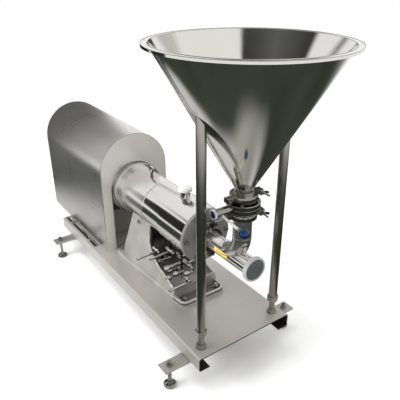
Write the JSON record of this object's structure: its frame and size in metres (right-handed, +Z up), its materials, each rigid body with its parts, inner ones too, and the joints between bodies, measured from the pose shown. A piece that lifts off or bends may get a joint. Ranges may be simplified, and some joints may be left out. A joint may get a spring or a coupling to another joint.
{
  "type": "inline emulsifying pump",
  "caption": "Inline emulsifying pump with a powder hopper over a valve and elbow, a rotor and stator head, a hooded motor and a folded base on levelling feet.",
  "frame": {"origin": "under the middle of the whole machine, on the floor that the feet stand on", "axes": "+X from the motor hood to the liquid inlet, along the pump's axis; +Z up; -Y is the near side, with the valve lever and the small valves"},
  "size_m": [2.0564, 0.732, 1.399],
  "materials": {
    "mirror_steel": "mirror polished stainless steel",
    "satin_steel": "satin stainless sheet",
    "cast_steel": "blasted stainless casting",
    "bolt_steel": "plain turned stainless steel",
    "core_steel": "bare machined",
    "motor_paint": "semi gloss paint",
    "black_plastic": "moulded",
    "white_plastic": "moulded",
    "blue_plastic": "glossy",
    "carbon": "lapped carbon",
    "gasket_rubber": "food grade, white",
    "spider_rubber": "moulded"
  },
  "bodies": {
    "frame": {"hopper": "mirror_steel", "inlet_elbow": "mirror_steel", "liquid_inlet_pipe": "mirror_steel", "casing_cover": "mirror_steel", "pump_casing": "mirror_steel", "seal_housing": "mirror_steel", "bearing_housing": "satin_steel", "lifting_eye": "bolt_steel", "valve_body": "mirror_steel", "clamp_halves": "cast_steel", "clamp_bolts": "bolt_steel", "hopper_posts": "mirror_steel", "post_studs": "bolt_steel", "base_bolts": "bolt_steel", "cover_nuts": "bolt_steel", "valve_bolts": "bolt_steel", "foot_bar_fasteners": "bolt_steel", "motor_bolts": "bolt_steel", "base_frame": "satin_steel", "foot_bars": "satin_steel", "pedestal": "cast_steel", "motor_stool": "satin_steel", "motor_frame": "motor_paint", "motor_end_shields": "motor_paint", "fan_cowl": "motor_paint", "motor_stator": "core_steel", "bearing_outer_rings": "bolt_steel", "seal_seat": "carbon", "stator": "mirror_steel", "gaskets": "gasket_rubber", "valve_seat": "gasket_rubber", "flush_pipes": "mirror_steel", "flush_valves": "bolt_steel"},
    "drive_train": {"motor_rotor": "core_steel", "motor_fan": "black_plastic", "coupling_hubs": "core_steel", "coupling_spider": "spider_rubber", "pump_shaft": "bolt_steel", "bearing_inner_rings": "bolt_steel", "seal_head": "bolt_steel", "rotor": "mirror_steel", "rotor_nut": "bolt_steel"},
    "valve_lever": {"valve_disc": "mirror_steel", "valve_lever": "mirror_steel", "lever_knob": "blue_plastic"},
    "hood": {"hood_shell": "satin_steel", "hood_end_plates": "satin_steel", "hood_screws": "bolt_steel"},
    "discharge_cap": {"discharge_cap": "white_plastic"},
    "inlet_cap": {"inlet_cap": "white_plastic"},
    "wing_nut_upper": {"wing_nut_upper": "bolt_steel"},
    "wing_nut_lower": {"wing_nut_lower": "bolt_steel"},
    "wing_nut_pump": {"wing_nut_pump": "bolt_steel"},
    "seal_out_handle": {"seal_out_handle": "bolt_steel"},
    "seal_in_handle": {"seal_in_handle": "bolt_steel"},
    "drain_handle": {"drain_handle": "bolt_steel"},
    "levelling_foot_front_near": {"levelling_foot_front_near": "bolt_steel"},
    "levelling_foot_front_far": {"levelling_foot_front_far": "bolt_steel"},
    "levelling_foot_rear_near": {"levelling_foot_rear_near": "bolt_steel"},
    "levelling_foot_rear_far": {"levelling_foot_rear_far": "bolt_steel"}
  },
  "joints": [
    {"name": "drive_spin", "type": "hinge", "parent": "frame", "child": "drive_train", "pos_m": [-0.19, 0, 0.538], "axis": [1, 0, 0], "continuous": true},
    {"name": "valve_turn", "type": "hinge", "parent": "frame", "child": "valve_lever", "pos_m": [0.663, 0, 0.792], "axis": [0, 1, 0], "range_deg": [0, 90]},
    {"name": "hood_lift", "type": "slide", "parent": "frame", "child": "hood", "axis": [0, 0, 1], "range_m": [0, 0.25]},
    {"name": "discharge_cap_lift", "type": "slide", "parent": "frame", "child": "discharge_cap", "axis": [0, 0, 1], "range_m": [0, 0.06]},
    {"name": "inlet_cap_pull", "type": "slide", "parent": "frame", "child": "inlet_cap", "axis": [1, 0, 0], "range_m": [0, 0.05]},
    {"name": "wing_nut_upper_spin", "type": "hinge", "parent": "frame", "child": "wing_nut_upper", "pos_m": [0.688, 0.078, 0.8318], "axis": [1, 0, 0], "continuous": true},
    {"name": "wing_nut_lower_spin", "type": "hinge", "parent": "frame", "child": "wing_nut_lower", "pos_m": [0.68319, 0.07534, 0.7522], "axis": [0.9659, -0.2588, 0], "continuous": true},
    {"name": "wing_nut_pump_spin", "type": "hinge", "parent": "frame", "child": "wing_nut_pump", "pos_m": [0.4558, 0.025, 0.616], "axis": [0, 1, 0], "continuous": true},
    {"name": "seal_out_turn", "type": "hinge", "parent": "frame", "child": "seal_out_handle", "pos_m": [0.118, -0.096, 0.33], "axis": [0, 0, 1], "range_deg": [0, 90]},
    {"name": "seal_in_turn", "type": "hinge", "parent": "frame", "child": "seal_in_handle", "pos_m": [0.18, -0.058, 0.348], "axis": [0, 0, 1], "range_deg": [0, 90]},
    {"name": "drain_turn", "type": "hinge", "parent": "frame", "child": "drain_handle", "pos_m": [0.34, -0.05, 0.256], "axis": [0, 0, 1], "range_deg": [0, 90]},
    {"name": "levelling_foot_front_near_screw", "type": "hinge", "parent": "frame", "child": "levelling_foot_front_near", "pos_m": [0.615, -0.33, 0.05], "axis": [0, 0, 1], "continuous": true},
    {"name": "levelling_foot_front_far_screw", "type": "hinge", "parent": "frame", "child": "levelling_foot_front_far", "pos_m": [0.615, 0.33, 0.05], "axis": [0, 0, 1], "continuous": true},
    {"name": "levelling_foot_rear_near_screw", "type": "hinge", "parent": "frame", "child": "levelling_foot_rear_near", "pos_m": [-0.634, -0.33, 0.05], "axis": [0, 0, 1], "continuous": true},
    {"name": "levelling_foot_rear_far_screw", "type": "hinge", "parent": "frame", "child": "levelling_foot_rear_far", "pos_m": [-0.634, 0.33, 0.05], "axis": [0, 0, 1], "continuous": true}
  ]
}
